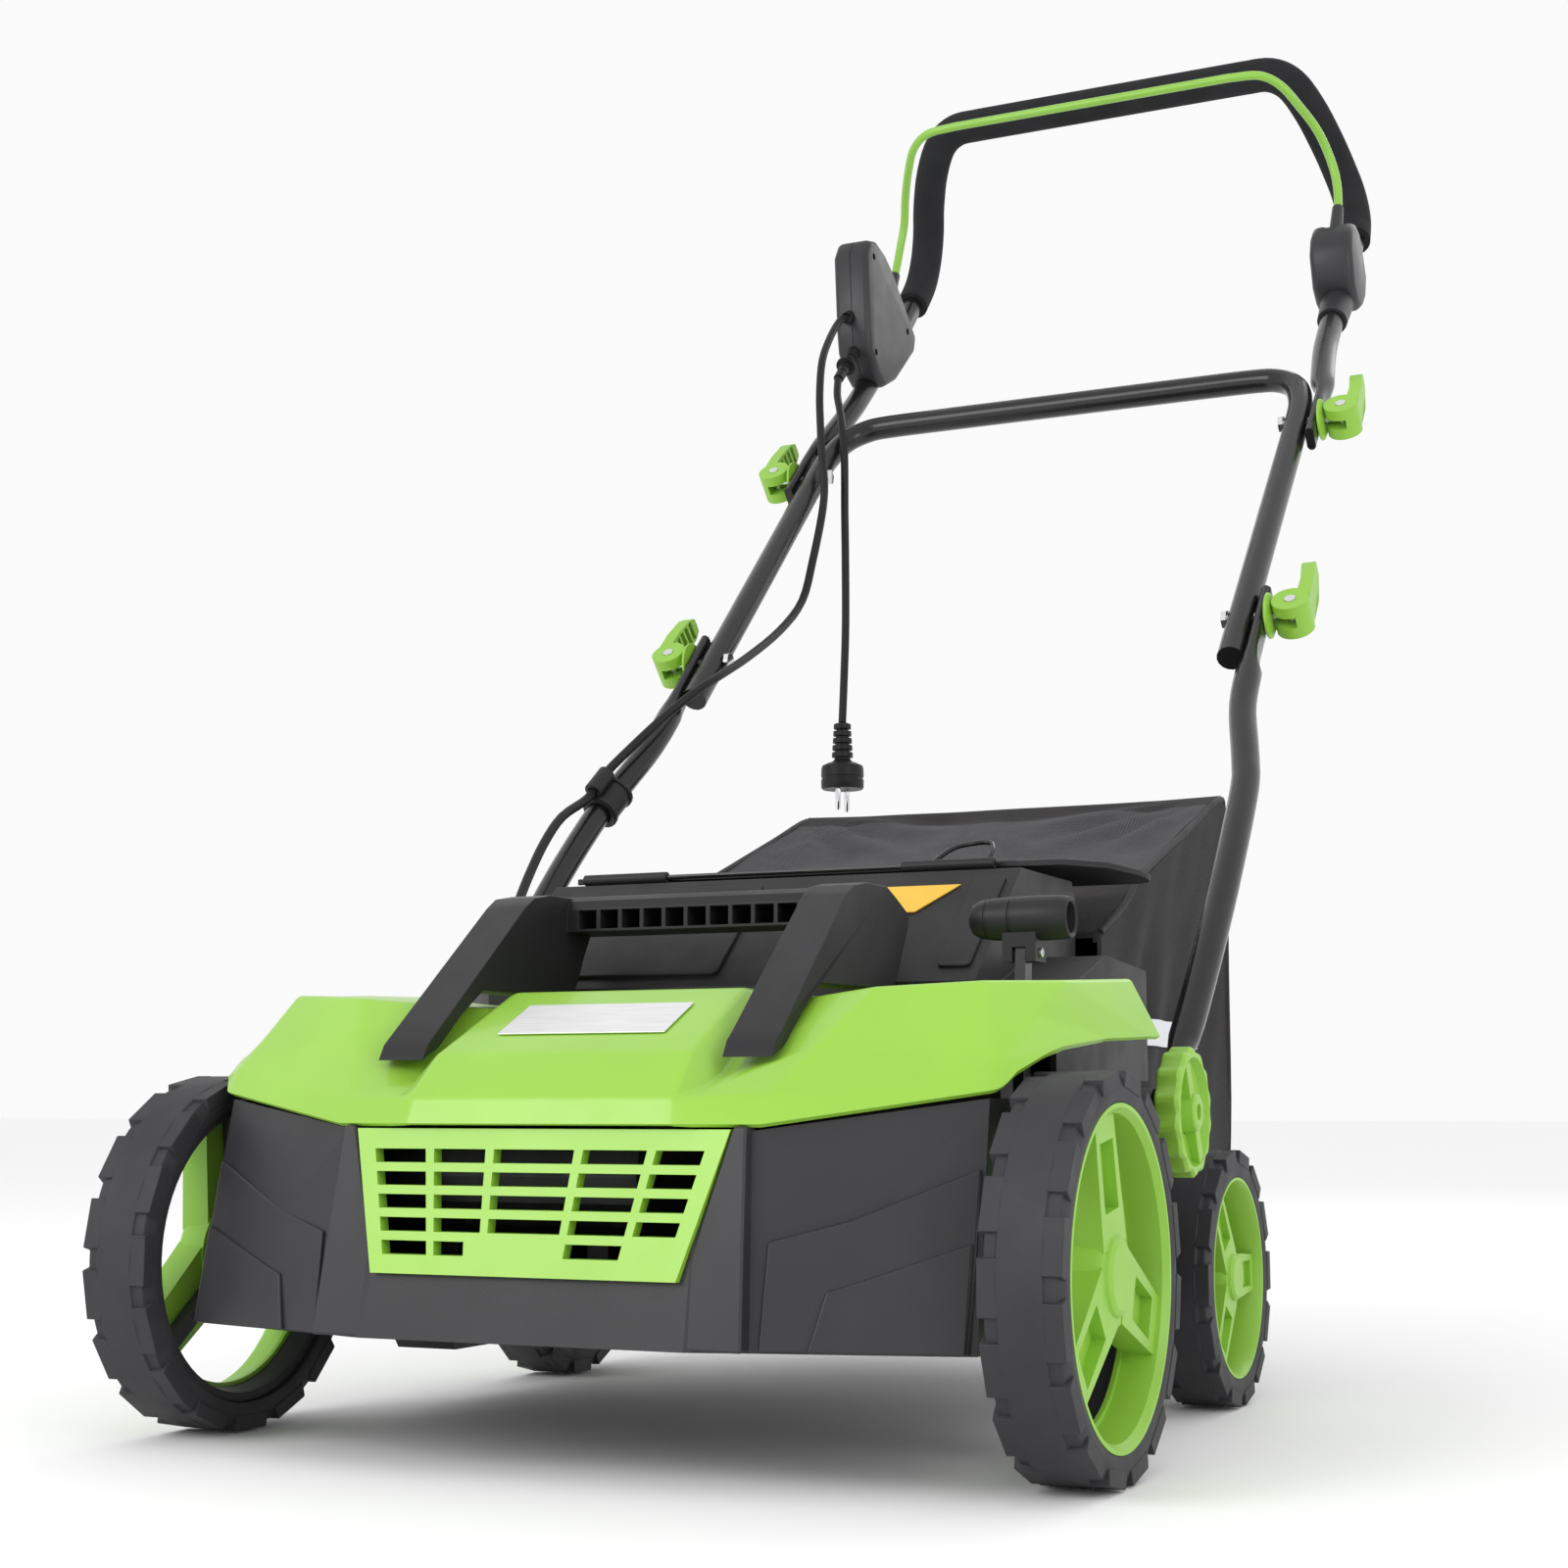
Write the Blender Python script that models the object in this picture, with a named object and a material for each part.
"""Electric lawn dethatcher: a tined drum in a wheeled housing, a folding tube handle and a grass bag.

Lengths are metres, +Z is up, the machine's front faces -Y and +X is its left hand seen from the front.
Heights and depths below are measured from the ground and from the front axle. The machine empty then
moves the whole so that the middle of its box stands on the origin.
"""

from math import atan2, cos, pi, radians, sin

import bmesh
import bpy
from mathutils import Matrix, Vector

# ---------------------------------------------------------------- driving sizes

GAP = 0.0003

FRONT_WHEEL_RADIUS = 0.100
FRONT_WHEEL_WIDTH = 0.0413
FRONT_TRACK = 0.556
FRONT_RIM_RADIUS = 0.084
REAR_WHEEL_RADIUS = 0.0778
REAR_WHEEL_WIDTH = 0.036
REAR_TRACK = 0.498
REAR_RIM_RADIUS = 0.0608
WHEELBASE = 0.3407
AXLE_RADIUS = 0.006
CRANK_SHAFT_Y = 0.045
CRANK_SHAFT_Z = 0.085

HOUSING_HALF_WIDTH = 0.226
HOUSING_REAR_HALF_WIDTH = 0.208
HOUSING_BOTTOM = 0.066
HOUSING_REAR = 0.300
HOUSING_WALL = 0.004
WAIST_FRONT = 0.236
BELT_CASE_BOTTOM = 0.036
WAIST_REAR = 0.255
TUNNEL_HALF_WIDTH = 0.180

COVER_WALL = 0.003
COVER_TOP = 0.247
COVER_REAR = 0.118

DRUM_Y = 0.185
DRUM_Z = 0.098
DRUM_TIP_RADIUS = 0.092
TUNNEL_REACH = DRUM_TIP_RADIUS + 0.0025
DRUM_TUBE_RADIUS = 0.021
TINE_RADIUS = 0.0014
TINE_COUNT = 16

MOTOR_Y = -0.016
MOTOR_Z = 0.146
MOTOR_RADIUS = 0.043
MOTOR_LENGTH = 0.150
BELT_X = -0.199
BELT_WIDTH = 0.012
MOTOR_PULLEY_RADIUS = 0.016
DRUM_PULLEY_RADIUS = 0.022

LEVER_X = 0.194
LEVER_PIVOT_Y = 0.085
LEVER_PIVOT_Z = 0.110
LEVER_GRIP_Y = 0.100
LEVER_GRIP_Z = 0.284
LEVER_THICK = 0.006
LINK_ARM = 0.022

TUBE_RADIUS = 0.010
LOWER_TUBE_RADIUS = 0.0095
FOAM_RADIUS = 0.0152
BAIL_RADIUS = 0.0038
FLAT_THICK = 0.007

HANDLE_PIVOT_Y = 0.199
HANDLE_PIVOT_Z = 0.179
HANDLE_BOLT_X = 0.2415
MIDDLE_PIVOT_Y = 0.539
MIDDLE_PIVOT_Z = 0.531
MIDDLE_TUBE_X = 0.2115
UPPER_PIVOT_Y = 0.7386
UPPER_PIVOT_Z = 0.728
JOINT_TUBE_X = 0.2266
BAIL_PIVOT_Y = 0.897
BAIL_PIVOT_Z = 0.920
BAIL_X = 0.2125

CORD_RADIUS = 0.0034

# The box's front and rear along Y, from which the machine empty's place follows.
LIP_FRONT = -0.1085
HANDLE_REAR = 1.0165

GREEN = (0.36, 0.72, 0.08)
BLACK = (0.035, 0.034, 0.038)
STEEL = (0.62, 0.62, 0.63)

for old in list(bpy.data.objects):
    bpy.data.objects.remove(old, do_unlink=True)

# ---------------------------------------------------------------- helpers


def material(name, color, roughness=0.5, metallic=0.0):
    made = bpy.data.materials.new(name)
    made.use_nodes = True
    shader = made.node_tree.nodes["Principled BSDF"]
    shader.inputs["Base Color"].default_value = (*color, 1.0)
    shader.inputs["Roughness"].default_value = roughness
    shader.inputs["Metallic"].default_value = metallic
    return made


def empty(name, parent, at):
    made = bpy.data.objects.new(name, None)
    bpy.context.scene.collection.objects.link(made)
    made.parent = parent
    made.location = at
    return made


def place(name, mesh, look, joint):
    """One piece whose mesh is in machine coordinates, hung on its joint's empty so its origin is the axis."""
    base = JOINT_POINTS[joint]
    mesh.transform(Matrix.Translation(-Vector(base)))
    mesh.materials.clear()
    mesh.materials.append(material(name + "_finish", *look))
    made = bpy.data.objects.new(name, mesh)
    bpy.context.scene.collection.objects.link(made)
    made.parent = JOINTS[joint]
    mesh.shade_smooth()
    mesh.set_sharp_from_angle(angle=radians(35))
    return made


def mesh_of(bm):
    bmesh.ops.recalc_face_normals(bm, faces=bm.faces)
    made = bpy.data.meshes.new("shape")
    bm.to_mesh(made)
    bm.free()
    return made


def box(low, high):
    """A block between two corners."""
    bm = bmesh.new()
    bmesh.ops.create_cube(bm, size=1.0)
    size = [b - a for a, b in zip(low, high)]
    middle = [(a + b) / 2 for a, b in zip(low, high)]
    bmesh.ops.scale(bm, vec=size, verts=bm.verts)
    bmesh.ops.translate(bm, vec=middle, verts=bm.verts)
    return mesh_of(bm)


def disc(x_low, x_high, y, z, radius, sides=20):
    """A round bar along X."""
    bm = bmesh.new()
    bmesh.ops.create_cone(
        bm, cap_ends=True, segments=sides, radius1=radius, radius2=radius, depth=x_high - x_low
    )
    bmesh.ops.rotate(bm, matrix=Matrix.Rotation(pi / 2, 3, "Y"), verts=bm.verts)
    bmesh.ops.translate(bm, vec=((x_low + x_high) / 2, y, z), verts=bm.verts)
    return mesh_of(bm)


def turned(profile, y, z, sides):
    """A closed profile of (x, radius) points turned about the X axis line through (y, z)."""
    bm = bmesh.new()
    corners = [bm.verts.new((x, 0, radius)) for x, radius in profile]
    edges = [bm.edges.new((a, b)) for a, b in zip(corners, corners[1:] + corners[:1])]
    bmesh.ops.spin(
        bm, geom=corners + edges, cent=(0, 0, 0), axis=(1, 0, 0), angle=2 * pi, steps=sides, use_merge=True
    )
    bmesh.ops.remove_doubles(bm, verts=bm.verts, dist=0.00001)
    bmesh.ops.translate(bm, vec=(0, y, z), verts=bm.verts)
    return mesh_of(bm)


def plate(outline, x_low, x_high):
    """An outline of (y, z) points, pulled out between two X places."""
    bm = bmesh.new()
    face = bm.faces.new([bm.verts.new((x_low, y, z)) for y, z in outline])
    grown = bmesh.ops.extrude_face_region(bm, geom=[face])
    moved = [part for part in grown["geom"] if isinstance(part, bmesh.types.BMVert)]
    bmesh.ops.translate(bm, vec=(x_high - x_low, 0, 0), verts=moved)
    return mesh_of(bm)


def tube(route, radius, sides=3, caps=True, spline_type="POLY"):
    """A round bar along a route, with sides 3 for ten facets."""
    curve = bpy.data.curves.new("route", "CURVE")
    curve.dimensions = "3D"
    curve.bevel_depth = radius
    curve.bevel_resolution = sides
    curve.use_fill_caps = caps
    spline = curve.splines.new(spline_type)
    spline.points.add(len(route) - 1)
    for point, at in zip(spline.points, route):
        point.co = (*at, 1.0)
    holder = bpy.data.objects.new("route", curve)
    made = bpy.data.meshes.new_from_object(holder)
    bpy.data.objects.remove(holder)
    bpy.data.curves.remove(curve)
    return made


def smooth(points, per_span=4):
    """Points on the Catmull-Rom curve through the given ones."""
    knots = [Vector(p) for p in points]
    knots = [2 * knots[0] - knots[1]] + knots + [2 * knots[-1] - knots[-2]]
    result = []
    for a, b, c, d in zip(knots, knots[1:], knots[2:], knots[3:]):
        for step in range(per_span):
            t = step / per_span
            result.append(
                0.5 * (2 * b + (c - a) * t + (2 * a - 5 * b + 4 * c - d) * t**2 + (3 * b - a - 3 * c + d) * t**3)
            )
    return result + [knots[-2]]


def combined(first, others, operation):
    """The first mesh after an exact Boolean with each of the others in turn."""
    base = bpy.data.objects.new("base", first)
    bpy.context.scene.collection.objects.link(base)
    tools = []
    for other in others:
        tool = bpy.data.objects.new("tool", other)
        bpy.context.scene.collection.objects.link(tool)
        modifier = base.modifiers.new("step", "BOOLEAN")
        modifier.operation = operation
        modifier.object = tool
        tools.append(tool)
    graph = bpy.context.evaluated_depsgraph_get()
    made = bpy.data.meshes.new_from_object(base.evaluated_get(graph))
    for used in [base, *tools]:
        bpy.data.objects.remove(used)
    return made


def joined(first, *others):
    return combined(first, others, "UNION")


def cut(first, *others):
    return combined(first, others, "DIFFERENCE")


def mirrored(mesh, side):
    """The mesh itself on the +X side, or its mirror image on the -X side."""
    if side < 0:
        mesh.transform(Matrix.Scale(-1, 4, (1, 0, 0)))
        mesh.flip_normals()
    return mesh


def flattened(mesh, centre, along, reach, x, thick):
    """Presses the tube's end flat in X where it lies within reach of the centre, and sets it at x."""
    direction = Vector(along).normalized()
    for vertex in mesh.vertices:
        offset = Vector((0, vertex.co.y - centre[0], vertex.co.z - centre[1]))
        if abs(offset.dot(direction)) < reach:
            side = 1 if vertex.co.x > 0 else -1
            share = (abs(vertex.co.x) - x) / TUBE_RADIUS
            vertex.co.x = side * (x + max(-1, min(1, share * 3)) * thick / 2)
    return mesh


SIDES = (("left", -1), ("right", 1))
PLASTIC = (BLACK, 0.55, 0.0)
GREEN_PLASTIC = (GREEN, 0.4, 0.0)
BARE_STEEL = (STEEL, 0.35, 1.0)
BLACK_STEEL = (BLACK, 0.3, 0.4)
RUBBER = ((0.03, 0.03, 0.032), 0.8, 0.0)

# ---------------------------------------------------------------- joints as a tree of empties

machine = empty("machine", None, (0, -(LIP_FRONT + HANDLE_REAR) / 2, 0))
FRONT_WHEEL_X = (FRONT_TRACK - FRONT_WHEEL_WIDTH) / 2
REAR_WHEEL_X = (REAR_TRACK - REAR_WHEEL_WIDTH) / 2

JOINT_POINTS = {"machine": (0, 0, 0)}
JOINTS = {"machine": machine}


def joint(name, parent, at):
    """An empty on a joint's axis, hung on its parent joint's empty."""
    JOINT_POINTS[name] = at
    local = Vector(at) - Vector(JOINT_POINTS[parent])
    JOINTS[name] = empty(name, JOINTS[parent], local)


joint("front_axle_joint", "machine", (0, CRANK_SHAFT_Y, CRANK_SHAFT_Z))
joint("depth_lever_joint", "machine", (LEVER_X, LEVER_PIVOT_Y, LEVER_PIVOT_Z))
joint("depth_link_joint", "depth_lever_joint", (LEVER_X, LEVER_PIVOT_Y, LEVER_PIVOT_Z + LINK_ARM))
joint("drum_joint", "machine", (0, DRUM_Y, DRUM_Z))
joint("motor_pulley_joint", "machine", (0, MOTOR_Y, MOTOR_Z))
joint("rear_flap_joint", "machine", (0, 0.206, 0.3265))
joint("bag_joint", "machine", (0, 0.312, 0.2))
joint("handle_joint", "machine", (0, HANDLE_PIVOT_Y, HANDLE_PIVOT_Z))
joint("middle_joint", "handle_joint", (0, MIDDLE_PIVOT_Y, MIDDLE_PIVOT_Z))
joint("upper_joint", "middle_joint", (0, UPPER_PIVOT_Y, UPPER_PIVOT_Z))
joint("bail_joint", "upper_joint", (0, BAIL_PIVOT_Y, BAIL_PIVOT_Z))
for side_name, side in SIDES:
    joint("front_wheel_joint_" + side_name, "front_axle_joint", (side * FRONT_WHEEL_X, 0, FRONT_WHEEL_RADIUS))
    joint("rear_wheel_joint_" + side_name, "machine", (side * REAR_WHEEL_X, WHEELBASE, REAR_WHEEL_RADIUS))
    joint("knob_joint_" + side_name, "machine", (side * HANDLE_BOLT_X, HANDLE_PIVOT_Y, HANDLE_PIVOT_Z))

# ---------------------------------------------------------------- housing


def loft(low, high, low_z, high_z):
    """A closed body between two plan outlines of (x, y) points, each outline with its own heights."""
    bm = bmesh.new()
    rings = []
    for outline, heights in ((low, low_z), (high, high_z)):
        rings.append([bm.verts.new((x, y, z)) for (x, y), z in zip(outline, heights)])
    bm.faces.new(rings[0])
    bm.faces.new(rings[1])
    count = len(low)
    for index in range(count):
        after = (index + 1) % count
        bm.faces.new((rings[0][index], rings[0][after], rings[1][after], rings[1][index]))
    bmesh.ops.triangulate(bm, faces=[face for face in bm.faces if len(face.verts) > 4])
    return mesh_of(bm)


def both_sides(half):
    """A plan outline from its +X half, listed from the front to the rear."""
    return half + [(-x, y) for x, y in reversed(half)]


def housing_block(inset, low_z, front_z, side_z):
    """The housing's outer form, or its hollow when inset by the wall."""
    wide = HOUSING_HALF_WIDTH - inset
    narrow = HOUSING_REAR_HALF_WIDTH - inset
    rear = HOUSING_REAR - inset
    low = [
        (0.092, LIP_FRONT + inset), (0.122 - inset / 2, -0.0985 + inset), (wide, -0.069 + inset),
        (wide, WAIST_FRONT), (narrow, WAIST_REAR), (narrow, rear),
    ]
    high = [
        (0.092, -0.0905 + inset), (0.118 - inset / 2, -0.0835 + inset), (wide - 0.002, -0.042 + inset),
        (wide - 0.002, WAIST_FRONT), (narrow, WAIST_REAR), (narrow, rear),
    ]
    half_z = [front_z, front_z, side_z, side_z, side_z, side_z]
    return loft(both_sides(low), both_sides(high), [low_z] * 12, half_z + half_z[::-1])


GRILLE_TOP = 0.1710
GRILLE_LOW = 0.0985


def grille_wedge(top_half, low_half, top_y, low_y, deep):
    """A sloping slab behind the grille's trapezoid outline."""
    bm = bmesh.new()
    corners = [(-low_half, low_y, GRILLE_LOW), (low_half, low_y, GRILLE_LOW)]
    corners += [(top_half, top_y, GRILLE_TOP), (-top_half, top_y, GRILLE_TOP)]
    face = bm.faces.new([bm.verts.new(at) for at in corners])
    grown = bmesh.ops.extrude_face_region(bm, geom=[face])
    moved = [part for part in grown["geom"] if isinstance(part, bmesh.types.BMVert)]
    bmesh.ops.translate(bm, vec=(0, deep, 0), verts=moved)
    return mesh_of(bm)


def chassis():
    """The black lower housing: an open-topped tray with the drum's tunnel through its floor."""
    tray = cut(
        housing_block(0, HOUSING_BOTTOM, 0.1705, 0.186),
        housing_block(HOUSING_WALL, HOUSING_BOTTOM + HOUSING_WALL, 0.1805, 0.196),
    )
    wall = HOUSING_WALL
    tunnel = box(
        (-TUNNEL_HALF_WIDTH - wall, DRUM_Y - TUNNEL_REACH - wall, HOUSING_BOTTOM + 0.001),
        (TUNNEL_HALF_WIDTH + wall, DRUM_Y + TUNNEL_REACH + wall, DRUM_Z + TUNNEL_REACH + wall),
    )
    ears = [
        mirrored(disc(HOUSING_HALF_WIDTH - 0.003, HANDLE_BOLT_X - FLAT_THICK / 2 - GAP,
                      HANDLE_PIVOT_Y, HANDLE_PIVOT_Z, 0.0135), side)
        for _, side in SIDES
    ]
    ears += [
        mirrored(box((0.186, HOUSING_REAR - 0.008, HOUSING_BOTTOM + 0.001), (0.204, 0.357, 0.112)), side)
        for _, side in SIDES
    ]
    belt_case = plate(
        ((0.100, HOUSING_BOTTOM + 0.002), (0.125, BELT_CASE_BOTTOM), (0.225, BELT_CASE_BOTTOM),
         (0.250, HOUSING_BOTTOM + 0.002)),
        -HOUSING_HALF_WIDTH + 0.004, -TUNNEL_HALF_WIDTH - 0.001,
    )
    body = joined(tray, tunnel, belt_case, *ears)
    hollow = box(
        (-TUNNEL_HALF_WIDTH, DRUM_Y - TUNNEL_REACH, 0.0),
        (TUNNEL_HALF_WIDTH, DRUM_Y + TUNNEL_REACH, DRUM_Z + TUNNEL_REACH),
    )
    chute = box((-0.160, DRUM_Y + 0.035, 0.128), (0.160, HOUSING_REAR + 0.02, 0.192))
    openings = [
        hollow,
        chute,
        grille_wedge(0.1085, 0.0875, -0.11, -0.12, 0.06),
        disc(-0.30, 0.30, CRANK_SHAFT_Y, CRANK_SHAFT_Z, AXLE_RADIUS + GAP),
        disc(-0.30, 0.30, WHEELBASE, REAR_WHEEL_RADIUS, AXLE_RADIUS + GAP),
        disc(-0.20, 0.20, DRUM_Y, DRUM_Z, 0.016 + GAP),
        disc(0.20, 0.30, HANDLE_PIVOT_Y, HANDLE_PIVOT_Z, 0.004 + GAP),
        disc(-0.30, -0.20, HANDLE_PIVOT_Y, HANDLE_PIVOT_Z, 0.004 + GAP),
    ]
    return cut(body, *openings)


def front_grille():
    """The green trapezoid with rows of slots."""
    slab = grille_wedge(0.1080, 0.0870, -0.0900, -0.1070, 0.008)
    slots = []
    rows = 5
    pitch = (GRILLE_TOP - GRILLE_LOW - 0.008) / rows
    for row in range(rows):
        low = GRILLE_LOW + 0.006 + row * pitch
        half = 0.082 + 0.018 * (row + 0.5) / rows
        bars = 5
        width = 2 * half / bars
        for cell in range(bars):
            if row == 0 and cell in (1, 2):
                continue
            start = -half + cell * width
            slots.append(box((start + 0.0015, -0.13, low), (start + width - 0.0015, 0, low + pitch - 0.005)))
    return cut(slab, *slots)


# Points of the cover's skin on the +X side, from the middle out to the wheel arch. Each column runs from
# the lower front edge up to the ridge and back.
COVER_COLUMNS = (
    ((0.000, -0.0940, 0.1735), (0.000, -0.0905, 0.187), (0.0000, -0.0671, 0.2100), (0.000, 0.0051, 0.2448)),
    ((0.076, -0.0940, 0.1735), (0.0757, -0.0900, 0.187), (0.0742, -0.0671, 0.2100), (0.0707, 0.0051, 0.2448)),
    ((0.088, -0.0935, 0.1735), (0.086, -0.0860, 0.187), (0.0850, -0.0520, 0.1975), (0.085, 0.0060, 0.2360)),
    ((0.122, -0.0865, 0.1735), (0.124, -0.0770, 0.1875), (0.1370, -0.0500, 0.2135), (0.1556, -0.0220, 0.2425)),
    ((0.227, -0.0440, 0.1900), (0.2245, -0.0373, 0.2024), (0.2170, -0.0220, 0.2230), (0.2088, -0.0049, 0.2453)),
    ((0.2305, -0.0400, 0.1915), (0.2300, -0.0330, 0.2040), (0.2320, 0.0050, 0.2280), (0.2375, 0.0351, 0.2465)),
    ((0.2350, -0.0330, 0.1990), (0.2460, -0.0050, 0.2110), (0.2570, 0.0400, 0.2165), (0.2640, 0.0975, 0.2190)),
)
COVER_REAR_POINTS = (
    (0.000, 0.2440), (0.0707, 0.2440), (0.085, 0.2380), (0.160, 0.2440), (0.200, 0.2490), (0.2480, 0.2510),
    (0.2640, 0.2195),
)


def top_cover():
    """The green cover: a thin skin with a raised middle block and a fender over each front wheel."""
    bm = bmesh.new()
    columns = [
        [*column, (x, COVER_REAR, z)] for column, (x, z) in zip(COVER_COLUMNS, COVER_REAR_POINTS)
    ]
    whole = [[(-x, y, z) for x, y, z in column] for column in reversed(columns[1:])] + columns
    grid = [[bm.verts.new(at) for at in column] for column in whole]
    for left, right in zip(grid, grid[1:]):
        for row in range(len(left) - 1):
            bm.faces.new((left[row], right[row], right[row + 1], left[row + 1]))
    skin = mesh_of(bm)
    base = bpy.data.objects.new("skin", skin)
    bpy.context.scene.collection.objects.link(base)
    solid = base.modifiers.new("wall", "SOLIDIFY")
    solid.thickness = COVER_WALL
    solid.offset = -1
    graph = bpy.context.evaluated_depsgraph_get()
    shell = bpy.data.meshes.new_from_object(base.evaluated_get(graph))
    bpy.data.objects.remove(base)
    slot = box((LEVER_X - 0.007, 0.034, 0.20), (LEVER_X + 0.007, COVER_REAR + 0.01, 0.30))
    return cut(shell, slot)


DECK_FRONT = COVER_REAR + 0.001
DECK_HALF_WIDTH = 0.158
DECK_OUTLINE = (
    (DECK_FRONT, 0.1975), (DECK_FRONT, 0.2520), (0.200, 0.3225), (0.298, 0.3225), (0.3035, 0.3120),
    (0.3035, 0.1975),
)


def rear_deck():
    """The black hood over the tunnel, open below and at the rear towards the bag."""
    hood = plate(DECK_OUTLINE, -DECK_HALF_WIDTH, DECK_HALF_WIDTH)
    wings = plate(
        ((DECK_FRONT, 0.1975), (DECK_FRONT, 0.2400), (0.215, 0.2700), (0.298, 0.2650), (0.298, 0.1975)),
        -0.205, 0.205,
    )
    inside = plate(
        ((DECK_FRONT + 0.003, 0.15), (DECK_FRONT + 0.003, 0.2500), (0.201, 0.3190), (0.31, 0.3190), (0.31, 0.15)),
        -DECK_HALF_WIDTH + 0.003, DECK_HALF_WIDTH - 0.003,
    )
    under_wings = plate(
        ((DECK_FRONT + 0.003, 0.15), (DECK_FRONT + 0.003, 0.2380), (0.214, 0.2665), (0.295, 0.2620), (0.295, 0.15)),
        -0.202, 0.202,
    )
    slot = box((LEVER_X - 0.007, 0.10, 0.20), (LEVER_X + 0.007, 0.135, 0.30))
    return cut(joined(hood, wings), inside, under_wings, slot)


def carry_handle():
    """A black arch: two legs on the cover, a grip bar across them and rear feet on the deck."""
    side_outline = (
        (-0.060, 0.2065), (-0.052, 0.2170), (0.048, 0.3005), (0.070, 0.3045), (0.100, 0.3045), (0.118, 0.2960),
        (0.120, 0.2840), (0.112, 0.2700), (0.106, 0.2560), (0.100, 0.2480), (0.000, 0.2475), (-0.022, 0.2325),
        (-0.045, 0.2140),
    )
    legs = [mirrored(plate(side_outline, 0.089, 0.1156), side) for _, side in SIDES]
    bar = box((-0.100, 0.092, 0.2835), (0.100, 0.128, 0.3030))
    return joined(bar, *legs)


def rear_flap():
    """The flap over the discharge mouth, with its hinge barrels along the front edge."""
    panel = plate(
        ((0.214, 0.3245), (0.214, 0.3285), (0.300, 0.3355), (0.366, 0.3300), (0.366, 0.3262), (0.300, 0.3315)),
        -0.150, 0.150,
    )
    for vertex in panel.vertices:
        if vertex.co.y > 0.35:
            vertex.co.x *= 1.30
    barrels = [mirrored(disc(0.080, 0.140, 0.206, 0.3265, 0.0035), side) for _, side in SIDES]
    arms = [mirrored(box((0.081, 0.206, 0.3250), (0.139, 0.216, 0.3280)), side) for _, side in SIDES]
    bores = [disc(-0.2, 0.2, 0.206, 0.3265, 0.0015 + GAP)]
    return cut(joined(panel, *barrels, *arms), *bores)


BAG_TOP = ((0.312, 0.290), (0.372, 0.314), (0.410, 0.336), (0.629, 0.4150))


def grass_bag():
    """The bag as a hollow body with its mouth to the front."""
    outer_outline = ((0.312, 0.128), *BAG_TOP, (0.641, 0.400), (0.632, 0.160), (0.600, 0.130))
    inner_outline = (
        (0.30, 0.132), (0.30, 0.285), (0.370, 0.3095), (0.410, 0.3320), (0.628, 0.4105), (0.637, 0.399),
        (0.628, 0.161), (0.600, 0.134),
    )
    outer = plate(outer_outline, -0.172, 0.172)
    inner = plate(inner_outline, -0.168, 0.168)
    return cut(outer, inner)


def bag_frame():
    """The wire frame at the bag's mouth."""
    wide, low, high = 0.155, 0.130, 0.190
    route = [(-wide, 0.3080, high), (-wide, 0.3080, low), (wide, 0.3080, low), (wide, 0.3080, high)]
    return tube(route, 0.0025, sides=2)


# ---------------------------------------------------------------- running gear


def tyre(wheel_x, y, radius, width, rim_radius, sides):
    half = width / 2
    inside = rim_radius + GAP
    shoulder = 0.004
    profile = [
        (wheel_x - half, inside), (wheel_x - half, radius - shoulder), (wheel_x - half + shoulder, radius),
        (wheel_x + half - shoulder, radius), (wheel_x + half, radius - shoulder), (wheel_x + half, inside),
    ]
    return turned(profile[::-1], y, radius, sides)


def rim(side, wheel_x, y, radius, width, rim_radius, sides):
    """A green wheel: a barrel, three box spokes and a hub with a blind bore for the axle."""
    half = width / 2
    wall = 0.004
    barrel = turned(
        [
            (wheel_x + half - 0.001, rim_radius), (wheel_x + half - 0.001, rim_radius - wall),
            (wheel_x - half + 0.004, rim_radius - wall), (wheel_x - half + 0.004, rim_radius),
        ],
        y, radius, sides,
    )
    hub_radius = 0.20 * rim_radius + 0.004
    hub = disc(wheel_x - half + 0.002, wheel_x + half - 0.001, y, radius, hub_radius, 16)
    spokes = []
    for turn in range(3):
        spoke = box(
            (wheel_x - half + 0.010, -0.013 * rim_radius / 0.084, 0),
            (wheel_x + half - 0.008, 0.013 * rim_radius / 0.084, rim_radius - wall / 2),
        )
        spoke.transform(Matrix.Rotation(radians(120 * turn + 8), 4, "X"))
        spoke.transform(Matrix.Translation((0, y, radius)))
        spokes.append(spoke)
    body = joined(barrel, hub, *spokes)
    bore = disc(wheel_x - half - 0.01, wheel_x + half - 0.006, y, radius, AXLE_RADIUS + GAP, 12)
    return mirrored(cut(body, bore), side)


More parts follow.
